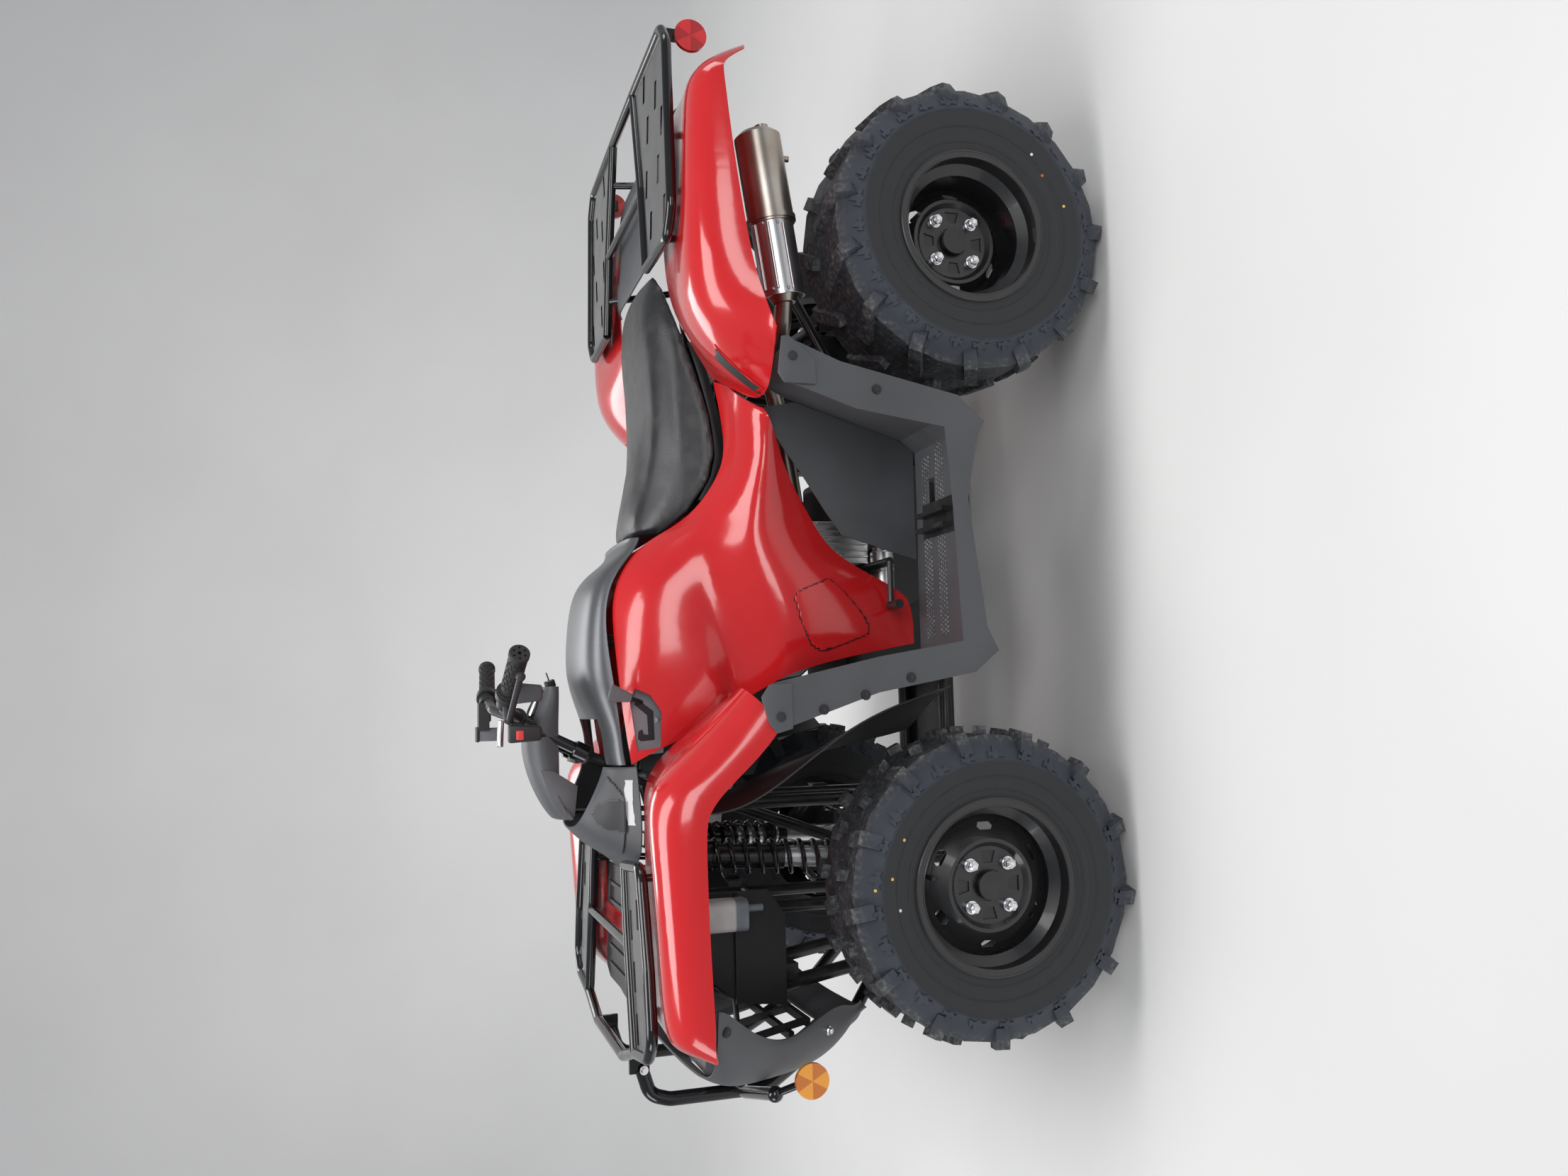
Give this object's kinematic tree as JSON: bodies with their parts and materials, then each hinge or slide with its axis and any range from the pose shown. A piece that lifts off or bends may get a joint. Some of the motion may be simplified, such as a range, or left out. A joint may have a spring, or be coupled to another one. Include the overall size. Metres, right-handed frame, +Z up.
{
  "type": "quad bike",
  "caption": "Utility quad bike with cargo racks, front guard, steered front wheels on wishbones and a live rear axle.",
  "frame": {"origin": "on the ground, below the middle of the machine's length and width", "axes": "+X forward, +Y to the rider's left, +Z up"},
  "size_m": [2.124, 1.2038, 1.1838],
  "materials": {
    "red_plastic": "glossy, moulded through",
    "gray_plastic": "fine grained",
    "spine_plastic": "metallic satin",
    "black_plastic": "fine grained",
    "frame_paint": "satin black enamel",
    "rack_paint": "gloss black powder coat",
    "rim_paint": "satin black enamel",
    "tyre_rubber": "matte, moulded",
    "grip_rubber": "matte, ribbed",
    "seat_vinyl": "grained vinyl over foam",
    "steel": "zinc plated",
    "black_steel": "black oxide, satin",
    "engine_alloy": "cast, silver paint",
    "cast_knuckle": "as cast, painted",
    "muffler_steel": "heat tinted",
    "shield_steel": "brushed stainless",
    "lamp_lens": "clear moulded lens",
    "tail_lens": "clear red moulding",
    "amber_lens": "moulded prisms",
    "red_lens": "moulded prisms",
    "bottle_plastic": "translucent, milky"
  },
  "bodies": {
    "chassis": {"brake_pedal": "black_steel", "coolant_bottle": "bottle_plastic", "cowl": "gray_plastic", "deck_inserts": "red_plastic", "engine": "engine_alloy", "exhaust": "muffler_steel", "foot_pegs": "black_steel", "footwells": "gray_plastic", "frame": "frame_paint", "front_arms": "frame_paint", "front_deck": "gray_plastic", "front_fascia": "gray_plastic", "front_fenders": "red_plastic", "front_guard": "rack_paint", "front_rack": "rack_paint", "front_reflectors": "amber_lens", "front_shocks": "black_steel", "gear_pedal": "black_steel", "grille": "black_plastic", "headlights": "lamp_lens", "hitch_plate": "frame_paint", "inner_panels": "black_plastic", "muffler_shield": "shield_steel", "panel_stays": "black_steel", "radiator": "black_steel", "rear_deck": "gray_plastic", "rear_fenders": "red_plastic", "rear_rack": "rack_paint", "rear_reflectors": "red_lens", "rear_shock": "black_steel", "seat": "seat_vinyl", "selector_lever": "gray_plastic", "side_covers": "red_plastic", "skid_plate": "black_plastic", "swing_arm": "frame_paint", "tail_lights": "tail_lens", "tank_cover": "spine_plastic"},
    "steering": {"steering_stem": "frame_paint", "handlebar": "frame_paint", "grips": "grip_rubber", "bar_controls": "black_plastic", "handlebar_pod": "gray_plastic"},
    "rear_axle_body": {"rear_axle": "steel", "rear_rim_left": "rim_paint", "rear_rim_right": "rim_paint", "rear_tyre_left": "tyre_rubber", "rear_tyre_right": "tyre_rubber"},
    "knuckle_body_left": {"knuckle_left": "cast_knuckle"},
    "tie_rod_body_left": {"tie_rod_left": "steel"},
    "front_wheel_left": {"front_rim_left": "rim_paint", "front_tyre_left": "tyre_rubber", "front_hub_left": "steel"},
    "knuckle_body_right": {"knuckle_right": "cast_knuckle"},
    "tie_rod_body_right": {"tie_rod_right": "steel"},
    "front_wheel_right": {"front_rim_right": "rim_paint", "front_tyre_right": "tyre_rubber", "front_hub_right": "steel"}
  },
  "joints": [
    {"name": "steer", "type": "hinge", "parent": "chassis", "child": "steering", "pos_m": [0.35, 0, 1.04], "axis": [-0.342, 0, 0.9397], "range_deg": [-40, 40]},
    {"name": "kingpin_left", "type": "hinge", "parent": "chassis", "child": "knuckle_body_left", "pos_m": [0.63, 0.417, 0.205], "axis": [-0.0955, -0.0743, 0.9926], "range_deg": [-30, 30]},
    {"name": "wheel_front_left", "type": "hinge", "parent": "knuckle_body_left", "child": "front_wheel_left", "pos_m": [0.6225, 0.473, 0.298], "axis": [0, 1, 0], "continuous": true},
    {"name": "tie_rod_left", "type": "hinge", "parent": "steering", "child": "tie_rod_body_left", "pos_m": [0.53487, 0.024, 0.35079], "axis": [-0.342, 0, 0.9397], "range_deg": [-40, 40]},
    {"name": "kingpin_right", "type": "hinge", "parent": "chassis", "child": "knuckle_body_right", "pos_m": [0.63, -0.417, 0.205], "axis": [-0.0955, 0.0743, 0.9926], "range_deg": [-30, 30]},
    {"name": "wheel_front_right", "type": "hinge", "parent": "knuckle_body_right", "child": "front_wheel_right", "pos_m": [0.6225, -0.473, 0.298], "axis": [0, 1, 0], "continuous": true},
    {"name": "tie_rod_right", "type": "hinge", "parent": "steering", "child": "tie_rod_body_right", "pos_m": [0.53487, -0.024, 0.35079], "axis": [-0.342, 0, 0.9397], "range_deg": [-40, 40]},
    {"name": "rear_axle_spin", "type": "hinge", "parent": "chassis", "child": "rear_axle_body", "pos_m": [-0.6445, 0, 0.296], "axis": [0, 1, 0], "continuous": true}
  ],
  "couplings": [
    {"joint": "kingpin_left", "follows": "steer", "ratio": 0.75},
    {"joint": "tie_rod_left", "follows": "steer", "ratio": -1},
    {"joint": "kingpin_right", "follows": "steer", "ratio": 0.75},
    {"joint": "tie_rod_right", "follows": "steer", "ratio": -1}
  ]
}
